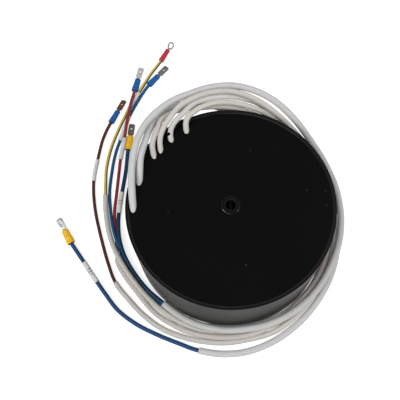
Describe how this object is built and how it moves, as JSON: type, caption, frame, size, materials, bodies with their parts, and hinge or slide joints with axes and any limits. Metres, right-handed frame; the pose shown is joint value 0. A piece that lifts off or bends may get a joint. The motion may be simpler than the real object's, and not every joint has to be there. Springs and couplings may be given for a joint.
{
  "type": "toroidal transformer",
  "caption": "Round transformer cast in resin in a black tub, with a central bolt tube and sleeved, marked leads that end in crimped tabs and a ring.",
  "frame": {"origin": "middle of the base, where the bore's axis meets it", "axes": "+Z along the bore, up; the lead ends lie towards -X and +Y"},
  "size_m": [0.2751, 0.3334, 0.0964],
  "materials": {
    "case": "satin moulded",
    "resin": "cast, semi-gloss",
    "core_steel": "strip edge",
    "tape": "film",
    "copper": "enamelled",
    "sleeve": "varnished glass braid",
    "green_yellow_wire": "two-colour insulation",
    "red_wire": "smooth",
    "blue_wire": "smooth",
    "brown_wire": "smooth",
    "navy_wire": "smooth",
    "royal_wire": "smooth",
    "marker": "shrunk tube",
    "insulator_red": "translucent",
    "insulator_blue": "translucent",
    "insulator_yellow": "translucent",
    "tinned": "tin plated"
  },
  "bodies": {
    "root": {"case": "case", "potting": "resin", "core": "core_steel", "core_tape": "tape", "primary_winding": "copper", "winding_tape": "tape", "secondary_winding": "copper", "outer_tape": "tape", "green_yellow_sleeve": "sleeve", "green_yellow_wire": "green_yellow_wire", "green_yellow_marker": "marker", "green_yellow_insulator": "insulator_red", "green_yellow_terminal": "tinned", "red_sleeve": "sleeve", "red_wire": "red_wire", "red_marker": "marker", "red_insulator": "insulator_blue", "red_terminal": "tinned", "blue_sleeve": "sleeve", "blue_wire": "blue_wire", "blue_marker": "marker", "blue_insulator": "insulator_blue", "blue_terminal": "tinned", "brown_sleeve": "sleeve", "brown_wire": "brown_wire", "brown_marker": "marker", "brown_insulator": "insulator_blue", "brown_terminal": "tinned", "navy_sleeve": "sleeve", "navy_wire": "navy_wire", "navy_marker": "marker", "navy_insulator": "insulator_yellow", "navy_terminal": "tinned", "royal_sleeve": "sleeve", "royal_wire": "royal_wire", "royal_marker": "marker", "royal_insulator": "insulator_yellow", "royal_terminal": "tinned"}
  },
  "joints": []
}
